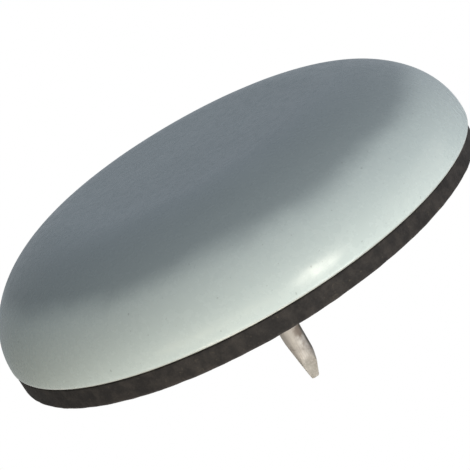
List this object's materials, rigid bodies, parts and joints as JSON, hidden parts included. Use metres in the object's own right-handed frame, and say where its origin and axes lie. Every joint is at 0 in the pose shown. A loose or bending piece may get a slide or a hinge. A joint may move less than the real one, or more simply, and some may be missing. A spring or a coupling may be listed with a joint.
{
  "type": "nail-on furniture glide",
  "caption": "Round nail-on glide for a furniture leg: a dished low-friction plastic cap with a flat sliding face, a rubber cushion filling it and a steel wire nail through its centre.",
  "frame": {"origin": "centre of the flat sliding face, where the glide stands on the floor", "axes": "+Z along the nail, away from the floor and into the furniture leg; X and Y lie in the sliding face"},
  "size_m": [0.05, 0.05, 0.027],
  "materials": {
    "grey_cap": "satin blue-grey fluoropolymer, waxy, with faint scuffs",
    "black_rubber": "matt brown-black rubber with a fine cut edge",
    "nail_steel": "dull drawn wire with brown stains"
  },
  "bodies": {
    "root": {"sliding_cap": "grey_cap", "rubber_cushion": "black_rubber", "nail": "nail_steel"}
  },
  "joints": []
}
